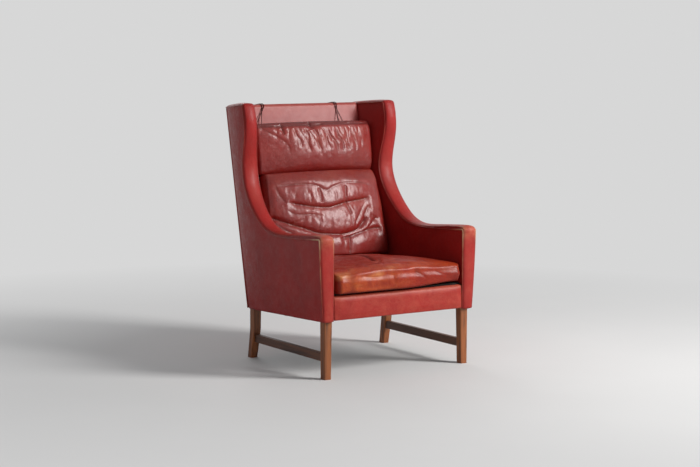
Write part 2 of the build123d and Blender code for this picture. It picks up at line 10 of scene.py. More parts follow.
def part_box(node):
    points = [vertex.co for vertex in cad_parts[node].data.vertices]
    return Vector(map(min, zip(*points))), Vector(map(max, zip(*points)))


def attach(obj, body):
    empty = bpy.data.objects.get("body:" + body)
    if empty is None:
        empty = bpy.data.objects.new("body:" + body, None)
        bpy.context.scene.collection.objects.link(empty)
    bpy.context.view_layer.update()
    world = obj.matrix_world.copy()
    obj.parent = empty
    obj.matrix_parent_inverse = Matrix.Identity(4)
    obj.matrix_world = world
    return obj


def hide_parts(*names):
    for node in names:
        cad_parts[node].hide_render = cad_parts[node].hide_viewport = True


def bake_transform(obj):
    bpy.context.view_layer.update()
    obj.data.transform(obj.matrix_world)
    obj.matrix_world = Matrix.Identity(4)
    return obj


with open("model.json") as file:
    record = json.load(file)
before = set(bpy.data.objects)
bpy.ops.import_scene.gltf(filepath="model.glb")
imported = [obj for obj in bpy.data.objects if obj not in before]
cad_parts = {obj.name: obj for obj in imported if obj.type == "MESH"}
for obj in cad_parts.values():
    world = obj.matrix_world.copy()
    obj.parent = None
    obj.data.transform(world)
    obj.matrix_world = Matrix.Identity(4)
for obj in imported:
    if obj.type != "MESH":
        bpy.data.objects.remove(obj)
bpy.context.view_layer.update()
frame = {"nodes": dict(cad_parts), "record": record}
NODES = frame["nodes"]

# The chair's own sizes in metres, as in the CAD source. Depth is measured back from the arm fronts.
FRONT_LEG_FRONT = 0.0124
SHIFT = FRONT_LEG_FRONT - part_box("left_front_leg")[0].y
FOOT_DEPTH, TOP_DEPTH = 0.582, 0.778
BOTTOM_FRONT, BOTTOM_REAR = 0.2245, 0.202
TOP_REAR, TOP_WING = 1.012, 1.030
ARM_HEIGHT, WING_DEPTH = 0.547, 0.581
BACK_THICKNESS = 0.068
BACK_LENGTH = math.hypot(TOP_DEPTH - FOOT_DEPTH, TOP_REAR - BOTTOM_REAR)

# Half widths of the sides' outer and inner faces: in front, then at the rear's foot and top.
OUTER_FRONT, OUTER_FOOT, OUTER_TOP = 0.3675, 0.345, 0.331
INNER_FRONT, INNER_FOOT, INNER_TOP = 0.3055, 0.285, 0.268
# How far the outer face is drawn in at the bottom, and how far the inner face spreads at the wing's tip.
OUTER_DRAWN_IN, INNER_SPREAD = 0.016, 0.0105
# Depth over which each face closes towards the rear.
OUTER_TAPER, INNER_TAPER = 0.2, 0.16

# The body's two slopes: the raked back, and the seat with the underside.
RAKE = math.atan2(TOP_DEPTH - FOOT_DEPTH, TOP_REAR - BOTTOM_REAR)
PITCH = math.atan2(BOTTOM_FRONT - BOTTOM_REAR, FOOT_DEPTH)
BACK_ORIGIN = np.array([0.0, FOOT_DEPTH - SHIFT, BOTTOM_REAR])
BACK_UP = np.array([0.0, math.sin(RAKE), math.cos(RAKE)])
BACK_OUT = np.array([0.0, -math.cos(RAKE), math.sin(RAKE)])
SEAT_ORIGIN = np.array([0.0, -SHIFT, BOTTOM_FRONT])
SEAT_BACK = np.array([0.0, math.cos(PITCH), -math.sin(PITCH)])
SEAT_UP = np.array([0.0, math.sin(PITCH), math.cos(PITCH)])


# Small tools
def smooth(low, high, value):
    """From 0 at low to 1 at high by a smooth curve. Low may be the larger one."""
    share = np.clip((value - low) / (high - low), 0, 1)
    return share * share * (3 - 2 * share)


def bell(value, width):
    return np.exp(-((value / width) ** 2))


class Lattice:
    """Smooth seeded noise in space, from -1 to 1, from random values on a lattice."""

    entries = 4096
    factors = 73856093, 19349663, 83492791

    def __init__(self, seed):
        self.table = np.random.default_rng(seed).random(self.entries)

    def corner(self, i, j, k):
        a, b, c = self.factors
        return self.table[(i * a ^ j * b ^ k * c) & (self.entries - 1)]

    def __call__(self, points, size):
        scaled = np.asarray(points) / size
        low = np.floor(scaled).astype(np.int64)
        part = scaled - low
        part = part * part * (3 - 2 * part)
        total = 0
        for di in (0, 1):
            for dj in (0, 1):
                for dk in (0, 1):
                    weight = (
                        (part[:, 0] if di else 1 - part[:, 0])
                        * (part[:, 1] if dj else 1 - part[:, 1])
                        * (part[:, 2] if dk else 1 - part[:, 2])
                    )
                    total = total + weight * self.corner(low[:, 0] + di, low[:, 1] + dj, low[:, 2] + dk)
        return total * 2 - 1


rough_noise = Lattice(7)
fine_noise = Lattice(19)


def mottle(noise, points, size, stretch=(1, 1, 1)):
    """Smooth patches from 0 to 1, drawn out along an axis where its stretch is under 1."""
    return 0.5 + 0.5 * noise(points * np.array(stretch), size)


def pushed(points, directions, amounts):
    return points + directions * amounts[:, None]


def line_distance(points, line):
    """Distance of each 2D point from a polyline, the side it lies on and its place along it, 0 to 1."""
    points = np.asarray(points, float)
    line = np.asarray(line, float)
    lengths = np.linalg.norm(np.diff(line, axis=0), axis=1)
    along = np.concatenate([[0], np.cumsum(lengths)])
    best = np.full(len(points), 1e9)
    side = np.zeros(len(points))
    place = np.zeros(len(points))
    for index in range(len(line) - 1):
        start, end = line[index], line[index + 1]
        run = end - start
        share = np.clip(((points - start) @ run) / max(run @ run, 1e-12), 0, 1)
        away = points - (start + share[:, None] * run)
        distance = np.hypot(away[:, 0], away[:, 1])
        nearer = distance < best
        best = np.where(nearer, distance, best)
        side = np.where(nearer, np.sign(run[0] * away[:, 1] - run[1] * away[:, 0]), side)
        place = np.where(nearer, (along[index] + share * lengths[index]) / along[-1], place)
    return best, side, place


def curved(points, count=14):
    """Points on a smooth curve through the given ones."""
    points = np.asarray(points, float)
    if len(points) < 3:
        return points
    padded = np.vstack([2 * points[0] - points[1], points, 2 * points[-1] - points[-2]])
    result = []
    for i in range(1, len(padded) - 2):
        a, b, c, d = padded[i - 1 : i + 3]
        for t in np.linspace(0, 1, count, endpoint=False):
            square = (2 * a - 5 * b + 4 * c - d) * t**2
            cube = (3 * b - a - 3 * c + d) * t**3
            result.append(0.5 * ((2 * b) + (c - a) * t + square + cube))
    result.append(padded[-2])
    return np.array(result)


def natural_spline(points, count):
    """Smooth curve through points with natural ends, by lengths of chord."""
    points = np.asarray(points, float)
    knots = np.concatenate([[0], np.cumsum(np.linalg.norm(np.diff(points, axis=0), axis=1))])
    n = len(points)
    steps = np.diff(knots)
    matrix = np.eye(n)
    right = np.zeros((n, points.shape[1]))
    for i in range(1, n - 1):
        matrix[i, i - 1 : i + 2] = steps[i - 1], 2 * (steps[i - 1] + steps[i]), steps[i]
        right[i] = 6 * ((points[i + 1] - points[i]) / steps[i] - (points[i] - points[i - 1]) / steps[i - 1])
    bend = np.linalg.solve(matrix, right)
    result = []
    for value in np.linspace(0, knots[-1], count):
        i = min(max(np.searchsorted(knots, value) - 1, 0), n - 2)
        step = steps[i]
        a, b = (knots[i + 1] - value) / step, (value - knots[i]) / step
        result.append(
            a * points[i]
            + b * points[i + 1]
            + ((a**3 - a) * bend[i] + (b**3 - b) * bend[i + 1]) * step * step / 6
        )
    return np.array(result)


def new_object(name, mesh, material, body, cad=()):
    piece = bpy.data.objects.new(name, mesh)
    bpy.context.scene.collection.objects.link(piece)
    mesh.materials.clear()
    mesh.materials.append(material)
    for polygon in mesh.polygons:
        polygon.use_smooth = True
    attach(piece, body)
    if cad:
        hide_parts(*cad)
    return piece


def read_points(mesh):
    flat = np.empty(len(mesh.vertices) * 3)
    mesh.vertices.foreach_get("co", flat)
    return flat.reshape(-1, 3)


def read_normals(mesh):
    flat = np.empty(len(mesh.vertices) * 3)
    mesh.vertex_normals.foreach_get("vector", flat)
    return flat.reshape(-1, 3)


def write_points(mesh, points):
    mesh.vertices.foreach_set("co", np.asarray(points, np.float32).ravel())
    mesh.update()


def paint(mesh, wear_and_sheen=0, tan=0, shade_and_smudge=0):
    """Stores three values for each point, 0 to 1, which the leather reads: wear and tan, in places also a
    painted sheen, and painted shade, which on the seat also holds dark smudges.
    """
    for name, values in (("wear_and_sheen", wear_and_sheen), ("tan", tan), ("shade_and_smudge", shade_and_smudge)):
        layer = mesh.attributes.new(name, "FLOAT", "POINT")
        layer.data.foreach_set("value", np.clip(np.full(len(mesh.vertices), values, np.float32), 0, 1))


def melt(nodes, voxel, outer_only=False, relax=4):
    """A new mesh in even squares over the joined outside of some CAD nodes, with its points and normals."""
    joined = bmesh.new()
    for node in nodes:
        joined.from_mesh(NODES[node].data)
    bmesh.ops.remove_doubles(joined, verts=joined.verts, dist=0.00001)
    if outer_only:
        keep_largest(joined)
    mesh = bpy.data.meshes.new("melt")
    joined.to_mesh(mesh)
    joined.free()
    holder = bpy.data.objects.new("melt", mesh)
    bpy.context.scene.collection.objects.link(holder)
    remesh = holder.modifiers.new("remesh", "REMESH")
    remesh.mode = "VOXEL"
    remesh.voxel_size = voxel
    relaxing = holder.modifiers.new("relax", "SMOOTH")
    relaxing.factor = 0.5
    relaxing.iterations = relax
    graph = bpy.context.evaluated_depsgraph_get()
    result = bpy.data.meshes.new_from_object(holder.evaluated_get(graph))
    bpy.data.objects.remove(holder)
    bpy.data.meshes.remove(mesh)
    cleaned = bmesh.new()
    cleaned.from_mesh(result)
    keep_largest(cleaned)
    cleaned.to_mesh(result)
    cleaned.free()
    return result, read_points(result), read_normals(result)


def keep_largest(body):
    """Keeps the connected part of a bmesh that spans the largest box."""
    body.verts.ensure_lookup_table()
    seen = np.zeros(len(body.verts), bool)
    parts = []
    for first in body.verts:
        if seen[first.index]:
            continue
        seen[first.index] = True
        stack, part = [first], []
        while stack:
            vertex = stack.pop()
            part.append(vertex)
            for edge in vertex.link_edges:
                other = edge.other_vert(vertex)
                if not seen[other.index]:
                    seen[other.index] = True
                    stack.append(other)
        parts.append(part)

    def span(part):
        co = np.array([vertex.co for vertex in part])
        return np.linalg.norm(co.max(0) - co.min(0))

    parts.sort(key=span)
    extra = [vertex for part in parts[:-1] for vertex in part]
    if extra:
        bmesh.ops.delete(body, geom=extra, context="VERTS")


def tube(points, radius, sides=10):
    """Round tube along points, closed at both ends, as vertices and faces."""
    points = np.asarray(points, float)
    ahead = np.roll(points, -1, 0) - np.roll(points, 1, 0)
    ahead[0], ahead[-1] = points[1] - points[0], points[-1] - points[-2]
    ahead /= np.linalg.norm(ahead, axis=1)[:, None]
    across = np.cross(ahead[0], [0.3, 0.2, 0.9])
    across /= np.linalg.norm(across)
    verts, faces = [], []
    for point, direction in zip(points, ahead):
        across = across - direction * (across @ direction)
        across /= np.linalg.norm(across)
        third = np.cross(direction, across)
        for side in range(sides):
            angle = 2 * math.pi * side / sides
            verts.append(point + radius * (math.cos(angle) * across + math.sin(angle) * third))
    last = len(points) - 1
    for ring in range(last):
        for side in range(sides):
            a = ring * sides + side
            b = ring * sides + (side + 1) % sides
            faces.append((a, b, b + sides, a + sides))
    faces.append(tuple(range(sides))[::-1])
    faces.append(tuple(last * sides + side for side in range(sides)))
    return verts, faces


def mesh_from(verts, faces):
    mesh = bpy.data.meshes.new("mesh")
    mesh.from_pydata([tuple(map(float, v)) for v in verts], [], faces)
    mesh.update()
    return mesh


def mesh_of_parts(parts):
    verts, faces = [], []
    for part_verts, part_faces in parts:
        offset = len(verts)
        verts.extend(part_verts)
        faces.extend(tuple(index + offset for index in face) for face in part_faces)
    return mesh_from(verts, faces)


# Form of the body's sides
def up_the_rear(foot, top, height):
    """A value that changes evenly from the body's foot to its top at the rear."""
    return foot + (top - foot) * (height - BOTTOM_REAR) / (TOP_REAR - BOTTOM_REAR)


def rear_depth(height):
    return up_the_rear(FOOT_DEPTH, TOP_DEPTH, height)


def outer_x(depth, height):
    """Half width over the sides' outer faces."""
    below = np.clip((ARM_HEIGHT - height) / (ARM_HEIGHT - BOTTOM_FRONT), 0, None)
    front = OUTER_FRONT - OUTER_DRAWN_IN * below**1.5
    rear = up_the_rear(OUTER_FOOT, OUTER_TOP, height)
    share = np.clip((depth - (rear_depth(height) - OUTER_TAPER)) / OUTER_TAPER, 0, 1)
    return front + (rear - front) * share**2


def inner_x(depth, height):
    """Half width between the sides' inner faces."""
    above = np.clip((height - ARM_HEIGHT) / (TOP_WING - ARM_HEIGHT), 0, None)
    front = INNER_FRONT + INNER_SPREAD * above
    rear = up_the_rear(INNER_FOOT, INNER_TOP, height)
    share = np.clip((depth - (rear_depth(height) - BACK_THICKNESS - INNER_TAPER)) / INNER_TAPER, 0, 1)
    return front + (rear - front) * share**2


def rounded(line, corner, reach):
    """A polyline with its corner at a point replaced by a curve that starts and ends at a reach from it."""
    line = np.asarray(line, float)
    distance = np.linalg.norm(line - corner, axis=1)
    inside = np.where(distance < reach)[0]
    first, last = inside[0], inside[-1]
    start = corner + (line[first - 1] - corner) / distance[first - 1] * reach
    end = corner + (line[last + 1] - corner) / distance[last + 1] * reach
    t = np.linspace(0, 1, 9)[:, None]
    arc = (1 - t) ** 2 * start + 2 * t * (1 - t) * corner + t**2 * end
    return np.vstack([line[:first], arc, line[last + 1 :]])


def side_edge():
    """The front and top edge of one side, from its bottom front to its top rear, as depths and heights."""
    arm_corner, wing_tip = (0, ARM_HEIGHT), (WING_DEPTH, TOP_WING)
    low_arm, bend, waist = (0.27, 0.530), (0.4, 0.546), (0.48, 0.596)
    throat, nose = (0.582, 0.765), (0.561, 0.925)
    rise = np.linspace(BOTTOM_FRONT, ARM_HEIGHT, 40)
    front = np.stack([np.zeros_like(rise), rise], 1)
    sweep = natural_spline([arm_corner, low_arm, bend, waist, throat, nose, wing_tip], 160)
    top = np.linspace(wing_tip, (TOP_DEPTH, TOP_REAR), 24)
    line = np.vstack([front, sweep[1:], top[1:]])
    line = rounded(line, np.array(arm_corner), 0.017)
    return rounded(line, np.array(wing_tip), 0.016)


def offset_line(line, inset):
    ahead = np.gradient(line, axis=0)
    ahead /= np.linalg.norm(ahead, axis=1)[:, None]
    return line + inset * np.stack([ahead[:, 1], -ahead[:, 0]], 1)


EDGE = side_edge()


def in_row(x, depth, height):
    return np.stack([x, depth - SHIFT, height], -1)


# Materials
def material(name):
    made = bpy.data.materials.new(name)
    made.use_nodes = True
    tree = made.node_tree
    shader = tree.nodes["Principled BSDF"]
    where = tree.nodes.new("ShaderNodeTexCoord").outputs["Object"]
    return made, tree, shader, where


def set_inputs(tree, node, inputs):
    """Sets a node's inputs, by name or place. An output of a node is linked, any other value is stored."""
    for name, value in inputs.items():
        if isinstance(value, bpy.types.NodeSocket):
            tree.links.new(value, node.inputs[name])
        else:
            node.inputs[name].default_value = value


def new_node(tree, kind, inputs):
    node = tree.nodes.new("ShaderNode" + kind)
    set_inputs(tree, node, inputs)
    return node


def noise_node(tree, where, scale, detail=4, distortion=0, rough=0.5):
    inputs = {"Vector": where, "Scale": scale, "Detail": detail, "Roughness": rough, "Distortion": distortion}
    return new_node(tree, "TexNoise", inputs).outputs["Fac"]


def ramp(tree, value, *stops):
    node = new_node(tree, "ValToRGB", {"Fac": value})
    elements = node.color_ramp.elements
    while len(elements) < len(stops):
        elements.new(0.5)
    for element, (place, colour) in zip(elements, stops):
        element.position = place
        element.color = (*colour, 1)
    return node.outputs["Color"]


def grey(level):
    return (level, level, level)


def blend_colour(tree, share, first, second, mode="MIX"):
    node = tree.nodes.new("ShaderNodeMix")
    node.data_type = "RGBA"
    node.blend_type = mode
    first, second = ((*value, 1) if isinstance(value, tuple) else value for value in (first, second))
    set_inputs(tree, node, {0: share, 6: first, 7: second})
    return node.outputs[2]


def arithmetic(tree, kind, first, second):
    node = new_node(tree, "Math", {0: first, 1: second})
    node.operation = kind
    return node.outputs[0]


def layer(tree, name):
    node = tree.nodes.new("ShaderNodeAttribute")
    node.attribute_name = name
    return node.outputs["Fac"]


def stretched(tree, where, scale):
    return new_node(tree, "Mapping", {"Vector": where, "Scale": scale}).outputs["Vector"]


def bump(tree, height, strength, distance, under=None):
    """Normals from a height, over the normals of the bump under it."""
    inputs = {"Height": height, "Strength": strength, "Distance": distance}
    if under is not None:
        inputs["Normal"] = under
    return new_node(tree, "Bump", inputs).outputs["Normal"]


def leather(name, base, deep, worn, tan, gloss=0.4, wrinkle=0.5, coat=0.2, shine=0.24):
    """Leather with pores and wrinkles. It is worn or tan, and darker with painted shade, where the mesh is
    painted so.
    """
    made, tree, shader, where = material(name)
    between = tuple((a + b) / 2 for a, b in zip(base, deep))
    light = tuple(min(1, c * 1.12) for c in base)
    clouds = noise_node(tree, where, 7, detail=5, distortion=0.6)
    colour = ramp(tree, clouds, (0.22, between), (0.55, base), (0.85, light))
    specks = noise_node(tree, where, 95, detail=6, distortion=0.3, rough=0.65)
    speckle = ramp(tree, specks, (0.3, grey(0.8)), (0.68, grey(1.0)))
    colour = blend_colour(tree, 0.45, colour, speckle, "MULTIPLY")
    scrapes = noise_node(tree, where, 24, detail=7, distortion=1.2, rough=0.7)
    scuff = ramp(tree, scrapes, (0.38, grey(0)), (0.62, grey(1)))
    # The wear and tan values are real wear, and on some parts a painted sheen as well.
    for painted, scuffed, even, shown in (("wear_and_sheen", 0.65, 0.35, worn), ("tan", 0.5, 0.5, tan)):
        broken = arithmetic(tree, "ADD", arithmetic(tree, "MULTIPLY", scuff, scuffed), even)
        share = arithmetic(tree, "MULTIPLY", layer(tree, painted), broken)
        colour = blend_colour(tree, share, colour, shown)
    # Painted shade: darker in folds, seams, undersides and strips turned from the light. On the seat it also
    # holds dark smudges.
    dark = arithmetic(tree, "MULTIPLY", layer(tree, "shade_and_smudge"), 0.75)
    colour = blend_colour(tree, dark, colour, tuple(c * 0.35 for c in deep))
    uneven = noise_node(tree, where, 34, detail=8, distortion=0.6, rough=0.68)
    rough = ramp(tree, uneven, (0.34, grey(gloss - 0.08)), (0.66, grey(gloss + 0.14)))
    cells = new_node(tree, "TexVoronoi", {"Vector": where, "Scale": 420})
    cells.feature = "DISTANCE_TO_EDGE"
    pebble = ramp(tree, cells.outputs["Distance"], (0.0, grey(0)), (0.22, grey(1)))
    fine_lines = noise_node(tree, where, 48, detail=8, distortion=1.8, rough=0.62)
    lines = ramp(tree, fine_lines, (0.44, grey(1)), (0.5, grey(0)), (0.56, grey(1)))
    grain = bump(tree, pebble, strength=0.5, distance=0.00025)
    wrinkled = bump(tree, lines, strength=wrinkle, distance=0.0006, under=grain)
    waves = noise_node(tree, where, 19, detail=3, distortion=0.5)
    soft = bump(tree, waves, strength=0.35, distance=0.003, under=wrinkled)
    set_inputs(tree, shader, {
        "Base Color": colour, "Roughness": rough, "Specular IOR Level": shine,
        "Coat Weight": coat, "Coat Roughness": 0.27, "Normal": soft,
    })
    return made


def wood(name, along, light, dark, gloss=0.42):
    """Wood with its grain along one axis."""
    made, tree, shader, where = material(name)

    def grain(across, lengthwise, detail, distortion=0, rough=0.5):
        scale = [across] * 3
        scale[along] = lengthwise
        return noise_node(tree, stretched(tree, where, scale), 1, detail, distortion, rough)

    streaks = grain(46, 2.6, detail=7, distortion=0.8, rough=0.6)
    colour = ramp(tree, streaks, (0.3, dark), (0.52, light), (0.75, tuple(min(1, c * 1.3) for c in light)))
    pores = ramp(tree, grain(190, 9, detail=3), (0.34, grey(0.35)), (0.46, grey(1)))
    colour = blend_colour(tree, 0.6, colour, pores, "MULTIPLY")
    rough = ramp(tree, streaks, (0.3, grey(gloss + 0.12)), (0.7, grey(gloss)))
    normal = bump(tree, pores, strength=0.35, distance=0.0004)
    set_inputs(tree, shader, {"Base Color": colour, "Roughness": rough, "Normal": normal})
    return made


def cloth(name, light, dark, threads):
    """Plain weave: waves across, times waves along."""
    made, tree, shader, where = material(name)
    waves = []
    for direction in ("X", "Y"):
        wave = new_node(tree, "TexWave", {"Vector": where, "Scale": threads, "Distortion": 0.6})
        wave.bands_direction = direction
        waves.append(wave.outputs["Fac"])
    weave = arithmetic(tree, "MULTIPLY", *waves)
    colour = ramp(tree, weave, (0.1, dark), (0.7, light))
    mottled = ramp(tree, noise_node(tree, where, 30, 5), (0.3, grey(0.75)), (0.7, grey(1)))
    colour = blend_colour(tree, 0.6, colour, mottled, "MULTIPLY")
    normal = bump(tree, weave, strength=0.4, distance=0.0005)
    set_inputs(tree, shader, {"Base Color": colour, "Roughness": 0.9, "Normal": normal})
    return made


def metal(name, light, dark):
    made, tree, shader, where = material(name)
    colour = ramp(tree, noise_node(tree, where, 120, 5), (0.3, dark), (0.7, light))
    rough = ramp(tree, noise_node(tree, where, 60, 4), (0.3, grey(0.3)), (0.7, grey(0.5)))
    set_inputs(tree, shader, {"Base Color": colour, "Metallic": 1, "Roughness": rough})
    return made


LEATHER = leather(
    "leather_body", gloss=0.38, coat=0.08, shine=0.17,
    base=(0.36, 0.017, 0.015), deep=(0.19, 0.008, 0.008), worn=(0.46, 0.075, 0.045), tan=(0.54, 0.26, 0.14),
)
LEATHER_CUSHION = leather(
    "leather_cushion", gloss=0.34, wrinkle=1.0, coat=0.45,
    base=(0.25, 0.010, 0.008), deep=(0.13, 0.005, 0.005), worn=(0.38, 0.055, 0.026), tan=(0.52, 0.24, 0.13),
)
LEATHER_SEAT = leather(
    "leather_seat", gloss=0.36, wrinkle=1.0, coat=0.25, shine=0.10,
    base=(0.31, 0.014, 0.006), deep=(0.14, 0.007, 0.005), worn=(0.52, 0.095, 0.020), tan=(0.66, 0.27, 0.10),
)
# Paler and pinker than the body's leather: partly faded leather, partly a painted sheen.
LEATHER_BACK = leather(
    "leather_back", gloss=0.46, wrinkle=0.3, coat=0.18,
    base=(0.29, 0.028, 0.025), deep=(0.25, 0.017, 0.016), worn=(0.44, 0.09, 0.07), tan=(0.52, 0.26, 0.17),
)
LEATHER_WELT = leather(
    "leather_welt", gloss=0.38, wrinkle=0.2, coat=0.1,
    base=(0.28, 0.014, 0.012), deep=(0.10, 0.006, 0.005), worn=(0.46, 0.10, 0.045), tan=(0.60, 0.36, 0.21),
)
LACE = leather(
    "leather_lace", gloss=0.6, wrinkle=0.2, coat=0, shine=0.1,
    base=(0.045, 0.006, 0.005), deep=(0.02, 0.004, 0.003), worn=(0.08, 0.015, 0.01), tan=(0.2, 0.1, 0.06),
)
LEG_UPRIGHT = wood("leg_wood_upright", 2, (0.27, 0.078, 0.017), (0.08, 0.022, 0.007))
# The stretchers' wood: grain along their length, and darker than the legs' as painted shade, for they stand
# in shadow.
LEG_SHADED_LENGTHWISE = wood("leg_wood_lengthwise_shaded", 1, (0.11, 0.034, 0.012), (0.035, 0.012, 0.006))
FRAME_WOOD = wood("frame_wood", 2, (0.52, 0.34, 0.18), (0.34, 0.20, 0.10), 0.7)
LINING = cloth("lining", (0.030, 0.028, 0.026), (0.008, 0.008, 0.008), 900)
WEBBING = cloth("webbing", (0.42, 0.31, 0.19), (0.20, 0.14, 0.08), 500)
PADDING = cloth("padding", (0.72, 0.67, 0.57), (0.55, 0.50, 0.42), 300)
STEEL = metal("bolt_steel", grey(0.62), grey(0.42))
IRON = metal("core_iron", grey(0.22), grey(0.10))

# Each CAD node wears the material of its slot. The stretchers wear a darker copy of the leg wood, as painted
# shade.
SLOTS = {
    "leather": LEATHER, "padding": PADDING, "webbing": WEBBING, "lining": LINING, "frame_wood": FRAME_WOOD,
    "leg_wood": LEG_UPRIGHT, "bolts": STEEL, "lace": LACE, "weight_core": IRON,
}
for part in frame["record"]["subparts"]:
    node = NODES[part["node"]]
    chosen = LEG_SHADED_LENGTHWISE if part["node"].endswith("stretcher") else SLOTS[part["material_slot"]]
    if not node.material_slots:
        node.data.materials.append(chosen)
    for held in node.material_slots:
        held.material = chosen


# Camera, light and floor
def make_camera():
    """The camera fitted to the photograph: where it stands round the chair, and how it is turned."""
    camera = bpy.data.objects.new("camera", bpy.data.cameras.new("camera"))
    bpy.context.scene.collection.objects.link(camera)
    bpy.context.scene.camera = camera
    camera.data.sensor_width = 36
    camera.data.lens = 93.06
    camera.data.clip_end = 60
    azimuth, distance, height = math.radians(33.62), 7.20463, 1.34505
    yaw, pitch, roll = azimuth - math.radians(0.24), math.radians(-6.58), math.radians(0.24)
    centre_depth = 0.3
    ahead = Vector((math.sin(yaw) * math.cos(pitch), math.cos(yaw) * math.cos(pitch), math.sin(pitch)))
    right = Vector((math.cos(yaw), -math.sin(yaw), 0))
    up = right.cross(ahead)
    right, up = right * math.cos(roll) + up * math.sin(roll), up * math.cos(roll) - right * math.sin(roll)
    place = (-math.sin(azimuth) * distance, centre_depth - SHIFT - math.cos(azimuth) * distance, height)
    camera.matrix_world = Matrix.Translation(place) @ Matrix((right, up, -ahead)).transposed().to_4x4()


def area_light(name, place, target, size, power, colour=(1, 1, 1)):
    data = bpy.data.lights.new(name, "AREA")
    data.shape = "RECTANGLE"
    data.size, data.size_y = size
    data.energy = power
    data.color = colour
    lamp = bpy.data.objects.new(name, data)
    bpy.context.scene.collection.objects.link(lamp)
    place = Vector(place)
    lamp.rotation_euler = (Vector(target) - place).to_track_quat("-Z", "Y").to_euler()
    lamp.location = place


def seen_directly(tree):
    """One for rays from the camera, and for what metal, gloss and glass show."""
    rays = tree.nodes.new("ShaderNodeLightPath")
    seen = arithmetic(tree, "MAXIMUM", rays.outputs["Is Camera Ray"], rays.outputs["Is Transmission Ray"])
    return arithmetic(tree, "MAXIMUM", seen, rays.outputs["Is Glossy Ray"])


PALE = (0.68, 0.68, 0.68, 1)


def make_world():
    """Pale where it is seen, and a dimmer light for everything else."""
    world = bpy.data.worlds.new("world")
    bpy.context.scene.world = world
    world.use_nodes = True
    tree = world.node_tree
    tree.nodes.clear()
    dim = new_node(tree, "Background", {"Color": (0.96, 0.98, 1, 1), "Strength": 0.20})
    pale = new_node(tree, "Background", {"Color": PALE, "Strength": 1})
    shown = new_node(tree, "MixShader", {0: seen_directly(tree), 1: dim.outputs[0], 2: pale.outputs[0]})
    new_node(tree, "OutputWorld", {"Surface": shown.outputs[0]})


def make_floor():
    """A pale floor that fades into the world's colour away from the chair."""
    half = 40
    corners = [(-half, -half, 0), (half, -half, 0), (half, half, 0), (-half, half, 0)]
    floor = bpy.data.objects.new("floor", mesh_from(corners, [(0, 1, 2, 3)]))
    bpy.context.scene.collection.objects.link(floor)
    floor_material, tree, shader, where = material("floor")
    colour = ramp(tree, noise_node(tree, where, 1.3, 5), (0.2, grey(0.72)), (0.8, grey(0.76)))
    set_inputs(tree, shader, {"Base Color": colour, "Roughness": 0.7})
    reach = new_node(tree, "VectorMath", {0: where})
    reach.operation = "LENGTH"
    tens_of_metres = arithmetic(tree, "MULTIPLY", reach.outputs["Value"], 0.1)
    far = ramp(tree, tens_of_metres, (0.10, grey(0)), (0.30, grey(1)))
    glow = new_node(tree, "Emission", {"Color": PALE})
    fade = arithmetic(tree, "MULTIPLY", far, seen_directly(tree))
    shown = new_node(tree, "MixShader", {0: fade, 1: shader.outputs[0], 2: glow.outputs[0]})
    set_inputs(tree, tree.nodes["Material Output"], {"Surface": shown.outputs[0]})
    floor.data.materials.append(floor_material)


bpy.context.scene.view_settings.view_transform = "Standard"
make_camera()
area_light("key", (2.9, -3.5, 3.0), (0, 0, 0.6), size=(1.2, 2.4), power=285, colour=(1, 0.985, 0.97))
area_light("fill", (-3.6, -2.6, 2.2), (0, 0, 0.5), size=(2.6, 2.6), power=7, colour=(0.98, 0.985, 1))
area_light("rear", (0.6, 3.6, 2.8), (0, 0, 0.6), size=(2.4, 2.0), power=30)
make_world()
make_floor()


# The two sides
SIDE_NODES = ("side_padding", "outer_side_cover", "inner_side_cover", "edge_band")
EDGE_PUFF, OUTER_PUFF, INNER_PUFF = 0.0070, 0.0022, 0.0014
LESS_AT_ARM_FRONT, LESS_AT_TIP = 0.0045, 0.0040
WELT_INSET, WELT_RADIUS, WELT_SUNK = 0.0055, 0.0032, 0.0006
# Height at which the arm's front corner is worn most.
WORN_HEIGHT = 0.54


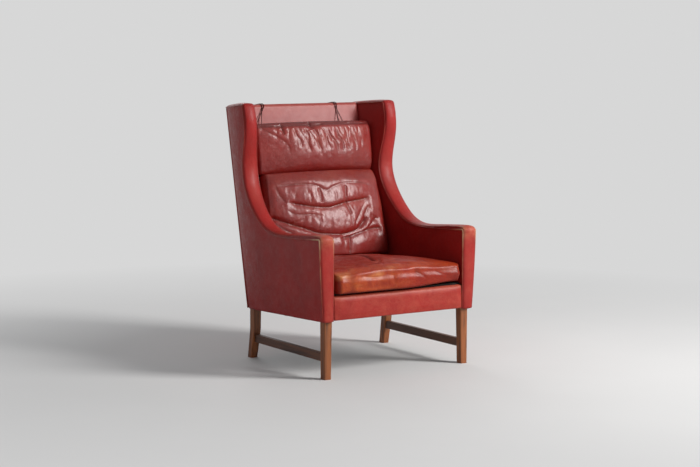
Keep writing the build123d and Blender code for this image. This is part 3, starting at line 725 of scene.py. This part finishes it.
def make_upholstery(side, sign):
    """A side's leather over its padding: a rounded edge, two slightly puffed faces and a flat underside."""
    nodes = [f"{side}_{name}" for name in SIDE_NODES]
    mesh, points, normals = melt(nodes, voxel=0.0045)
    depth, height = points[:, 1] + SHIFT, points[:, 2]
    reach, _, _ = line_distance(np.stack([depth, height], 1), EDGE)
    outer, inner = outer_x(depth, height), inner_x(depth, height)
    across = np.clip((np.abs(points[:, 0]) - inner) / (outer - inner), 0, 1)
    on_edge = smooth(0.016, 0.002, reach)
    arm_front = smooth(0.02, 0.0, depth) * smooth(0.54, 0.5, height)
    roll = 4 * across * (1 - across)
    tip = bell(depth - WING_DEPTH, 0.045) * bell(height - TOP_WING, 0.04)
    bulge = on_edge * roll * (EDGE_PUFF - LESS_AT_ARM_FRONT * arm_front - LESS_AT_TIP * tip)
    outside = smooth(0.5, 0.9, normals[:, 0] * sign)
    inside = smooth(0.5, 0.9, -normals[:, 0] * sign)
    bottom = height - (BOTTOM_FRONT + (BOTTOM_REAR - BOTTOM_FRONT) * depth / FOOT_DEPTH)
    panel = smooth(0.008, 0.06, reach) * smooth(0, 0.05, bottom) * smooth(0, 0.05, rear_depth(height) - depth)
    waves = rough_noise(points, 0.2) * 0.0007 + fine_noise(points, 0.06) * 0.0002
    puff = outside * panel * (OUTER_PUFF + waves) + inside * panel * (INNER_PUFF + waves)
    points = pushed(points, normals, bulge + puff)
    underside = bottom < 0.004
    points[underside, 2] -= bottom[underside]
    write_points(mesh, points)

    corner = bell(depth - 0.012, 0.045) * bell(height - WORN_HEIGHT, 0.03)
    rims = bell(across - 0.03, 0.09) + bell(across - 0.97, 0.09)
    along_arm = on_edge * smooth(0.50, 0.53, height) * smooth(0.50, 0.2, depth)
    scuffs = 0.55 + 0.35 * fine_noise(points, 0.03)
    lower_front = on_edge * smooth(0.03, 0.0, depth) * bell(across - 0.5, 0.5) * scuffs
    facing = smooth(0.75, 0.35, np.abs(normals[:, 0]))
    sweep = on_edge * roll * smooth(0.56, 0.66, height) * smooth(0.95, 0.75, height)
    wear_and_sheen = facing * np.clip(0.8 * corner + 0.3 * along_arm + 0.22 * sweep + 0.6 * lower_front, 0, 1)
    tan = facing * np.clip(corner * (0.12 + 0.5 * rims) + 0.12 * along_arm * rims, 0, 1)
    # Painted shade along the rims beside the welts and near the underside.
    shade_and_smudge = on_edge * rims * 0.35 + 0.5 * smooth(0.006, 0.0, bottom)
    paint(mesh, wear_and_sheen, tan, shade_and_smudge)
    new_object(f"{side}_side_upholstery", mesh, LEATHER, "frame", nodes)


def make_welts(side, sign):
    """The welts along both rims of a side's edge. The inner one ends at the back."""
    depth, height = offset_line(EDGE, WELT_INSET).T
    outer = in_row(sign * (outer_x(depth, height) - WELT_SUNK), depth, height)
    shown = rear_depth(height) - BACK_THICKNESS - depth > -0.004
    depth, height = depth[shown], height[shown]
    inner = in_row(sign * (inner_x(depth, height) + WELT_SUNK), depth, height)
    for rim, line in (("outer", outer), ("inner", inner)):
        mesh = mesh_from(*tube(line, WELT_RADIUS))
        points = read_points(mesh)
        depth, height = points[:, 1] + SHIFT, points[:, 2]
        corner = bell(depth - 0.01, 0.05) * bell(height - WORN_HEIGHT, 0.035)
        front = bell(depth, 0.02) * smooth(0.24, 0.5, height)
        patchy = mottle(rough_noise, points, 0.03)
        wear_and_sheen = corner + 0.6 * front * patchy + 0.3 * patchy
        paint(mesh, wear_and_sheen, tan=corner * 0.9 + 0.55 * front * patchy)
        new_object(f"{side}_{rim}_welt", mesh, LEATHER_WELT, "frame", [f"{side}_{rim}_piping"])


for side, sign in (("left", -1), ("right", 1)):
    make_upholstery(side, sign)
    make_welts(side, sign)


# The back, inside and outside
def back_place(points):
    """Width, place up the rake and distance ahead of the rear face, for points in space."""
    away = points - BACK_ORIGIN
    return points[:, 0], away @ BACK_UP, away @ BACK_OUT


def outer_back_half(up):
    """Half width of the outer back at a place up the rake."""
    return OUTER_FOOT + (OUTER_TOP - OUTER_FOOT) * up / BACK_LENGTH


def make_inner_back():
    half, top = 0.28, 0.80
    cad = ["back_padding", "inner_back_cover"]
    mesh, points, normals = melt(cad, voxel=0.005)
    x, up, _ = back_place(points)
    front = smooth(0.4, 0.9, normals @ BACK_OUT)
    hollow = front * smooth(half, half - 0.05, np.abs(x)) * smooth(top + 0.06, top, up)
    waves = rough_noise(points, 0.11) * 0.0006
    points = pushed(points, normals, hollow * (waves - 0.0004))
    write_points(mesh, points)
    # The top strip and the whole front are painted paler: partly wear, partly painted sheen. Painted shade
    # darkens the sides by the wings.
    sheen_and_wear_strip = smooth(top, top + 0.04, up)
    paint(mesh, 0.25 * sheen_and_wear_strip + 0.3 * front, 0.1 * sheen_and_wear_strip, smooth(0.02, 0.0, half - np.abs(x)) * 0.4)
    new_object("inner_back", mesh, LEATHER_BACK, "frame", cad)


def sheet_grid(corner, columns, rows, thickness):
    """A closed thin sheet over a grid: corner(u, v) gives the outer point and its outward direction."""
    front, rear = [], []
    for v in np.linspace(0, 1, rows):
        for u in np.linspace(0, 1, columns):
            point, out = corner(u, v)
            front.append(point)
            rear.append(point - out * thickness)
    count = rows * columns
    faces = []
    for r in range(rows - 1):
        for c in range(columns - 1):
            a = r * columns + c
            faces.append((a, a + 1, a + columns + 1, a + columns))
            faces.append((a + count, a + columns + count, a + columns + 1 + count, a + 1 + count))
    rim = list(range(columns))
    rim += [r * columns + columns - 1 for r in range(1, rows)]
    rim += [(rows - 1) * columns + c for c in range(columns - 2, -1, -1)]
    rim += [r * columns for r in range(rows - 2, 0, -1)]
    for a, b in zip(rim, rim[1:] + rim[:1]):
        faces.append((b, a, a + count, b + count))
    return front + rear, faces


def outer_back_point(u, v):
    """A point of the outer back's slightly puffed and wavy sheet, and the way it faces."""
    up = 0.003 + (BACK_LENGTH - 0.012) * v
    half = outer_back_half(up)
    edge = min(min(u, 1 - u) * 2 * half, v * BACK_LENGTH, (1 - v) * BACK_LENGTH)
    puff = 0.0045 * (1 - math.exp(-edge / 0.025)) - 0.002
    sag = 0.0012 * math.sin(9 * u + 5 * v) * (1 - math.exp(-edge / 0.06))
    point = BACK_ORIGIN + BACK_UP * up - BACK_OUT * (puff + sag)
    point[0] = (2 * u - 1) * (half - 0.002)
    return point, -BACK_OUT


def make_outer_back():
    mesh = mesh_from(*sheet_grid(outer_back_point, columns=60, rows=72, thickness=0.003))
    x, up, _ = back_place(read_points(mesh))
    middle_half = (OUTER_FOOT + OUTER_TOP) / 2
    rim = smooth(0.02, 0.0, middle_half - np.abs(x)) + smooth(0.03, 0, up) + smooth(0.03, 0, BACK_LENGTH - up)
    # Painted shade along the rims: by the welts, at the top and at the foot.
    paint(mesh, 0.15 + 0.2 * smooth(0.7, 0.83, up), shade_and_smudge=0.4 * np.clip(rim, 0, 1))
    new_object("outer_back", mesh, LEATHER, "frame", ["outer_back_cover"])
    radius, sunk, inset = 0.003, 0.0012, 0.0005
    ups = np.linspace(0.002, BACK_LENGTH - 0.010, 60)
    tubes = []
    for sign in (-1, 1):
        path = np.array([BACK_ORIGIN + BACK_UP * up + BACK_OUT * sunk for up in ups])
        path[:, 0] = sign * (outer_back_half(ups) - inset)
        tubes.append(tube(path, radius))
    mesh = mesh_of_parts(tubes)
    paint(mesh, 0.3 + 0.3 * rough_noise(read_points(mesh), 0.05))
    new_object("rear_welts", mesh, LEATHER_WELT, "frame")


make_inner_back()
make_outer_back()


# The apron
def make_apron():
    top, half, puff = 0.097, 0.302, 0.0045
    cad = ["apron_cover", "apron_padding"]
    mesh, points, normals = melt(cad, voxel=0.003, relax=3)
    rise = (points - SEAT_ORIGIN) @ SEAT_UP
    front = smooth(0.5, 0.9, -normals[:, 1])
    middle = smooth(0.0, 0.03, rise) * smooth(top, 0.07, rise) * smooth(half, 0.27, np.abs(points[:, 0]))
    waves = rough_noise(points, 0.12) * 0.0012
    points = pushed(points, normals, front * middle * (puff + waves))
    write_points(mesh, points)
    # The top strip is painted paler: partly wear, partly painted highlight. The rim is painted shade along
    # the foot and at the ends.
    sheen_and_wear_strip = smooth(0.075, 0.092, rise)
    mottled = mottle(fine_noise, points, 0.03, (1, 1, 0.6))
    rim = 0.5 * smooth(0.006, 0, rise) + 0.3 * smooth(0.292, 0.303, np.abs(points[:, 0]))
    paint(mesh, 0.3 + 0.35 * mottled * front + 0.35 * sheen_and_wear_strip, 0.15 * sheen_and_wear_strip, rim)
    new_object("apron", mesh, LEATHER, "frame", cad)


make_apron()


# Cushions
def fold(flat, line, deep, above, below, ends):
    """Height and shade of a fold along a line. Its slope reaches as far as given on each side."""
    dark_width = 0.0032
    distance, side, place = line_distance(flat, curved(line))
    fade = smooth(0, ends, place) * smooth(1, 1 - ends, place)
    reach = np.where(side > 0, above, below)
    return -deep * np.exp(-((distance / reach) ** 1.15)) * fade, bell(distance, dark_width) * fade


def folded(flat, folds):
    """Height and shade of many folds.

    Each has a line in millimetres, a depth, a reach on either side, and the share that fades at each end.
    """
    darkest_from = 7
    relief, dark = np.zeros(len(flat)), np.zeros(len(flat))
    for line, deep, above, below, ends in folds:
        line = [(x / 1000, y / 1000) for x, y in line]
        form, shade = fold(flat, line, deep / 1000, above / 1000, below / 1000, ends)
        relief += form
        dark = np.maximum(dark, shade * min(1, deep / darkest_from))
    return relief, dark


def rumpled(points, rough, fine, finest):
    """Unevenness from three pairs of a height and a size."""
    layers = ((rough_noise, rough), (fine_noise, fine), (rough_noise, finest))
    return sum(height * noise(points, size) for noise, (height, size) in layers)


# Places on the back cushion's face are across and up the rake.
BACK_FOLDS = (
    # The seam under the top strip.
    (((-236, 470), (-140, 472), (-60, 464), (-14, 442), (26, 456), (82, 468), (182, 463), (226, 452)),
     3.5, 6, 14, 0.08),
    (((-238, 478), (-228, 440), (-206, 405), (-196, 396)), 4, 9, 16, 0.2),
    # The long folds that sag across the face.
    (((-200, 404), (-141, 389), (-64, 374), (-4, 371), (70, 386), (150, 396), (213, 403)), 11, 9, 26, 0.1),
    (((-282, 352), (-216, 321), (-137, 291), (-80, 268), (-19, 260), (43, 257), (107, 269), (150, 296),
      (176, 326)), 13, 12, 16, 0.06),
    (((20, 238), (70, 243), (121, 256), (195, 273), (248, 272)), 9, 9, 24, 0.1),
    # The bundle that fans out to the right, and two at the left.
    (((128, 262), (150, 300), (172, 342), (206, 380)), 4.5, 8, 12, 0.2),
    (((100, 276), (118, 312), (150, 352), (176, 384)), 3.5, 6, 10, 0.25),
    (((166, 268), (196, 296), (232, 322)), 4, 7, 12, 0.25),
    (((190, 338), (214, 318), (244, 312)), 3, 7, 9, 0.25),
    (((-268, 330), (-214, 286), (-150, 252), (-96, 236)), 7, 10, 20, 0.2),
    (((-212, 380), (-170, 352), (-92, 344), (-30, 334)), 3.5, 8, 16, 0.25),
    # Upright seams and creases.
    (((-46, 456), (-44, 424), (-47, 388)), 4, 5, 9, 0.15),
    (((86, 464), (79, 420), (80, 382), (96, 330)), 4, 5, 7, 0.1),
    (((77, 250), (70, 214), (64, 176)), 4.5, 6, 9, 0.1),
    # Short gathers between the long folds.
    (((-150, 296), (-132, 326), (-128, 352)), 1.2, 6, 9, 0.3),
    (((-118, 284), (-104, 312), (-102, 340)), 1, 6, 9, 0.3),
    (((-84, 270), (-70, 300), (-70, 334)), 1.4, 6, 10, 0.3),
    (((-52, 264), (-42, 292), (-44, 322)), 1, 6, 9, 0.3),
    (((-22, 262), (-12, 288), (-16, 318)), 1.3, 6, 10, 0.3),
    (((12, 260), (22, 288), (20, 326)), 1, 6, 9, 0.3),
    (((44, 260), (56, 290), (58, 320)), 1.2, 6, 9, 0.3),
    (((-160, 396), (-156, 426), (-148, 458)), 1.4, 9, 9, 0.3),
    (((-96, 384), (-90, 412), (-92, 444)), 1.6, 7, 7, 0.3),
    (((20, 380), (30, 410), (24, 446)), 1.3, 8, 8, 0.3),
    (((142, 400), (150, 426), (146, 452)), 1.3, 8, 8, 0.3),
    (((-210, 300), (-160, 322), (-110, 330)), 2, 7, 9, 0.3),
)


def make_back_cushion():
    foot, top, seam, half = 0.176, 0.522, 0.462, 0.287
    mesh, points, normals = melt(["back_cushion_cover"], voxel=0.0028, outer_only=True)
    x, up, _ = back_place(points)
    wide = np.abs(x)
    front = smooth(0.25, 0.75, normals @ BACK_OUT)
    relief, dark = folded(np.stack([x, up], 1), BACK_FOLDS)
    relief += rumpled(points, (0.0024, 0.075), (0.0006, 0.026), (0.0003, 0.011))
    crumpled = smooth(0.20, 0.25, up) * smooth(0.47, 0.44, up) * smooth(0.27, 0.20, wide)
    relief += 0.0005 * crumpled * fine_noise(points * np.array([1, 0.4, 0.4]), 0.010)
    rim = smooth(0.0, 0.025, top - up) * smooth(0, 0.015, up - foot) * smooth(half, 0.262, wide)
    corner_fill = smooth(0.19, 0.265, wide) * smooth(0.33, 0.22, up)
    round_side = smooth(0.245, 0.292, wide)
    stand_out = 0.008 * smooth(top, seam, up) * (1 - round_side) + 0.009 * corner_fill - 0.007 * round_side
    points = pushed(points, normals, front * (rim * relief + stand_out))
    points = pushed(points, -BACK_UP, 0.0035 * smooth(0.215, 0.18, up))
    write_points(mesh, points)

    near_top = smooth(seam, 0.49, up)
    patchy = mottle(rough_noise, points, 0.045)
    upper_fold = bell(up - 0.372, 0.022)
    wear_and_sheen = 0.06 + 0.5 * near_top * patchy + 0.35 * upper_fold * patchy * front + 0.12 * patchy
    # Painted shade in the folds, at the foot above the seat, and on the top strip.
    shade_and_smudge = dark * front * 0.7 + 0.25 * smooth(0.2, 0.178, up) + 0.3 * near_top
    paint(mesh, wear_and_sheen, 0.25 * dark * patchy * front, shade_and_smudge)
    cad = ["back_cushion_cover", "back_cushion_filling"]
    piece = new_object("back_cushion", mesh, LEATHER_CUSHION, "back_cushion", cad)


PILLOW_FOLDS = (
    (((-267, 722), (-225, 694), (-186, 672), (-150, 640), (-138, 596)), 2.8, 6, 14, 0.15),
    (((-268, 723), (-90, 721), (90, 722), (268, 724)), 1.8, 2.5, 4.5, 0.02),
    (((-166, 732), (-165, 706), (-160, 680)), 6, 6, 9, 0.2),
    (((-36, 736), (-32, 718), (-25, 700)), 6.5, 7, 10, 0.2),
    (((-196, 726), (-176, 706), (-152, 700)), 3, 6, 8, 0.25),
    (((-60, 722), (-20, 714), (30, 722)), 3, 6, 8, 0.25),
)
# The gathers that hang from the pillow's seam: place across, lean to the right, foot and depth.
PILLOW_GATHERS = (
    (-112, 24, 616, 2.6), (-70, 30, 598, 3.2), (-30, 40, 604, 4.0), (10, 46, 610, 3.2), (44, 44, 592, 3.2),
    (88, 30, 600, 3.4), (130, 18, 604, 2.8), (172, 10, 598, 2.8), (212, 0, 612, 2.0),
    (-92, 20, 650, 1.3), (-52, 26, 640, 1.6), (-10, 30, 660, 1.5), (28, 36, 640, 1.7), (68, 30, 650, 1.4),
    (108, 20, 636, 1.5), (150, 12, 650, 1.3), (192, 6, 640, 1.3), (-146, 14, 664, 2.0), (-206, 26, 668, 1.8),
)


def gather(place, lean, foot, deep):
    """A gather as a fold: it leans to the right and bends a little."""
    middle = (foot + 712) / 2
    bend = 6 if (place // 2) % 2 else -6
    upper = (place + lean * 0.4 + bend, middle + 20)
    lower = (place + lean * 0.75 - bend, middle - 16)
    return ((place, 716), upper, lower, (place + lean, foot)), deep, 4.5, 11, 0.22


def make_pillow():
    mesh, points, normals = melt(["neck_pillow_cover"], voxel=0.0025, outer_only=True)
    x, up, out = back_place(points)
    wide = np.abs(x)
    front = smooth(0.1, 0.6, normals @ BACK_OUT)
    folds = [*PILLOW_FOLDS, *(gather(*drawn) for drawn in PILLOW_GATHERS)]
    relief, dark = folded(np.stack([x, up], 1), folds)
    relief += rumpled(points, (0.0018, 0.06), (0.0007, 0.021), (0.0003, 0.010))
    gathered = smooth(-0.19, -0.1, x) * smooth(0.27, 0.2, x) * bell(up - 0.672, 0.045)
    relief += 0.0013 * gathered * fine_noise(points * np.array([1, 0.35, 0.35]), 0.011)
    rim = smooth(0.532, 0.552, up) * smooth(0.739, 0.728, up) * smooth(0.281, 0.262, wide)
    points = pushed(points, normals, front * (rim * relief + 0.0022 * bell(up - 0.65, 0.06)))
    ahead = out - BACK_THICKNESS
    points = pushed(points, BACK_OUT, 0.012 * smooth(0.012, 0.05, ahead) * smooth(0.64, 0.73, up))
    corners = smooth(0.2, 0.27, wide) * smooth(0.62, 0.72, up) * smooth(0.01, 0.04, ahead)
    points[:, 0] += 0.0025 * np.sign(x) * corners
    write_points(mesh, points)

    patchy = mottle(rough_noise, points, 0.04)
    wear_and_sheen = np.clip(0.05 + 0.15 * patchy + 0.18 * gathered * patchy, 0, 0.6)
    # Painted shade in the folds, on the top strip and over the lower part.
    shade_and_smudge = dark * front * 0.55 + 0.7 * smooth(0.706, 0.722, up) + 0.2 * smooth(0.63, 0.57, up)
    paint(mesh, wear_and_sheen, 0.2 * dark * front * patchy, shade_and_smudge)
    cad = ["neck_pillow_cover", "neck_pillow_filling"]
    piece = new_object("neck_pillow", mesh, LEATHER_CUSHION, "neck_pillow", cad)


# Places on the seat cushion's top are across and back, and on its front across and up.
SEAT_FOLDS = (
    # The dark fold that runs from the back to the front edge, and its branches.
    (((-70, 350), (-26, 310), (-8, 268), (-32, 190), (-54, 118), (-64, 60)), 7.5, 7, 14, 0.1),
    (((-54, 118), (-34, 90), (-64, 50), (-120, 26)), 2.6, 7, 10, 0.3),
    (((-32, 190), (26, 176), (74, 150)), 1.2, 8, 12, 0.3),
    (((-64, 60), (-54, 36), (-66, 10)), 2.0, 6, 9, 0.25),
    # Wide shallow waves.
    (((-150, 300), (-110, 200), (-130, 90)), 2.6, 12, 16, 0.2),
    (((40, 200), (90, 120), (170, 40)), 2.6, 12, 16, 0.2),
    (((120, 330), (160, 240), (220, 120)), 2.2, 12, 16, 0.2),
    (((-260, 200), (-200, 190), (-120, 210)), 2, 10, 14, 0.2),
    (((20, 380), (120, 360), (230, 380)), 2.2, 12, 16, 0.2),
    (((-20, 300), (60, 270), (150, 290)), 1.6, 8, 10, 0.3),
    # Creases near the front edge.
    (((-220, 120), (-170, 50), (-120, 12)), 3, 8, 12, 0.2),
    (((-40, 60), (10, 30), (70, 8)), 2.4, 7, 10, 0.2),
    (((-210, 60), (-140, 74), (-90, 60)), 1.8, 6, 8, 0.3),
    (((-180, 96), (-140, 40), (-150, 6)), 2.2, 7, 10, 0.25),
    (((-250, 60), (-222, 30), (-232, 0)), 2, 6, 9, 0.25),
    (((-70, 130), (-130, 118), (-190, 132)), 1.8, 7, 10, 0.3),
)
SEAT_FRONT_FOLDS = (
    (((60, 178), (90, 158), (124, 134)), 2.6, 6, 8, 0.25),
    (((-30, 176), (-36, 150), (-30, 120)), 2, 8, 10, 0.3),
    (((-190, 172), (-120, 160), (-70, 168)), 2, 6, 8, 0.3),
    (((150, 176), (190, 150), (250, 140)), 1.8, 7, 9, 0.3),
    (((-250, 130), (-150, 122), (-60, 132)), 1.6, 7, 9, 0.3),
)


def make_seat_cushion():
    underside = 0.106
    mesh, points, normals = melt(["seat_cushion_cover"], voxel=0.0032, outer_only=True)
    away = points - SEAT_ORIGIN
    x, back, rise = points[:, 0], away @ SEAT_BACK, away @ SEAT_UP
    top = smooth(0.3, 0.8, normals @ SEAT_UP)
    front = smooth(0.4, 0.9, -normals[:, 1])
    relief, dark = folded(np.stack([x, back], 1), SEAT_FOLDS)
    relief += rumpled(points, (0.0026, 0.085), (0.0009, 0.026), (0.0003, 0.011))
    front_relief, front_dark = folded(np.stack([x, rise], 1), SEAT_FRONT_FOLDS)
    front_relief += 0.0016 * rough_noise(points * np.array([1, 1, 0.4]), 0.05) + 0.0012 * np.sin(x * 36 + 1.2)
    points = pushed(points, normals, top * smooth(0.52, 0.46, back) * relief + front * front_relief)
    # The upper front edge is rounded, and the right front corner is lifted.
    near_edge = smooth(0.03, -0.006, back) * smooth(0.140, 0.176, rise)
    points = pushed(points, SEAT_BACK * 0.006 - SEAT_UP * 0.005, near_edge)
    lifted = smooth(0.02, 0.27, x) * smooth(0.150, 0.100, rise) * smooth(0.16, -0.01, back)
    points = pushed(points, SEAT_UP * 0.011 + SEAT_BACK * 0.008, lifted)
    write_points(mesh, points)

    left_half = smooth(0.10, -0.12, x)
    patchy = mottle(rough_noise, points, 0.035)
    streaks = mottle(rough_noise, points, 0.022, (0.45, 1, 1))
    smudged = smooth(0.5, 0.9, mottle(fine_noise, points, 0.038, (1, 1, 0.5)))
    worn_front = front * (0.08 + (0.25 + 0.75 * streaks) * left_half) * smooth(0.19, 0.16, rise)
    worn_top = 0.25 * top * smooth(0.16, 0.0, back) * patchy
    # The front's top edge, and the pale patches below it on the left, are painted paler: partly wear, partly
    # painted highlight.
    edge = bell(back + 0.004, 0.022) * smooth(0.15, 0.17, rise)
    pale_wear_and_highlight = smooth(0.115, 0.150, rise) * smooth(0.08, -0.10, x) * smooth(0.5, 0.85, streaks)
    tan_edge_and_highlight = 0.6 * edge * smooth(0.02, -0.12, x) * smooth(0.45, 0.8, patchy)
    lower = smooth(0.006, 0.0, np.abs(rise - underside))
    wear_and_sheen = np.clip(worn_front + 0.35 * edge + worn_top + 0.12 * patchy, 0, 0.9)
    # Painted shade in the folds and along the lower seam, and dark smudges over the front.
    shade_and_smudge = 0.95 * dark * top + 0.5 * front_dark * front + 0.5 * lower + 0.4 * front * smudged
    paint(mesh, wear_and_sheen, tan_edge_and_highlight + 0.55 * front * pale_wear_and_highlight, shade_and_smudge)
    cad = ["seat_cushion_cover", "seat_cushion_filling"]
    piece = new_object("seat_cushion", mesh, LEATHER_SEAT, "seat_cushion", cad)


make_back_cushion()
make_pillow()
make_seat_cushion()


# Counterweights and laces
def make_pouch(side):
    """A soft pouch over a counterweight: rounded all round, and pinched flat at its foot and top."""
    rows, columns = 40, 36
    low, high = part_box(f"{side}_counterweight")
    middle = np.array((low + high) / 2)
    half = np.array((high - low) / 2)
    verts, faces = [], []
    for r in range(rows + 1):
        v = -1 + 2 * r / rows
        narrow = math.sqrt(1 - abs(v) ** 6)
        pinch = 0.25 + 0.75 * narrow
        for c in range(columns):
            angle = 2 * math.pi * c / columns
            across, ahead = math.cos(angle), math.sin(angle)
            wide = math.copysign(abs(across) ** 0.45, across)
            thick = math.copysign(abs(ahead) ** 0.9, ahead)
            verts.append(middle + half * np.array([wide * (0.93 + 0.07 * narrow), thick * pinch * 0.98, v]))
    for r in range(rows):
        for c in range(columns):
            a, b = r * columns + c, r * columns + (c + 1) % columns
            faces.append((a, b, b + columns, a + columns))
    faces.append(tuple(range(columns))[::-1])
    faces.append(tuple(rows * columns + c for c in range(columns)))
    mesh = mesh_from(verts, faces)
    edge = smooth(0.85, 1.0, np.abs(read_points(mesh)[:, 2] - middle[2]) / half[2])
    # Wear at the pinched ends, and painted shade there.
    paint(mesh, wear_and_sheen=0.3 * edge, shade_and_smudge=0.3 * edge)
    new_object(f"{side}_weight_pouch", mesh, LEATHER, "counterweights", [f"{side}_counterweight"])


def make_lace(side, place):
    """A lace: the CAD lace's mesh copied in its place, in the lace leather."""
    node = f"{side}_{place}_lace"
    mesh = NODES[node].data.copy()
    points = read_points(mesh)
    paint(mesh)
    mesh.materials.clear()
    mesh.materials.append(LACE)
    piece = bpy.data.objects.new(f"{side}_{place}_strands", mesh)
    bpy.context.scene.collection.objects.link(piece)
    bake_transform(piece)
    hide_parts(node)


for side in ("left", "right"):
    make_pouch(side)
    make_lace(side, "front")
    make_lace(side, "rear")
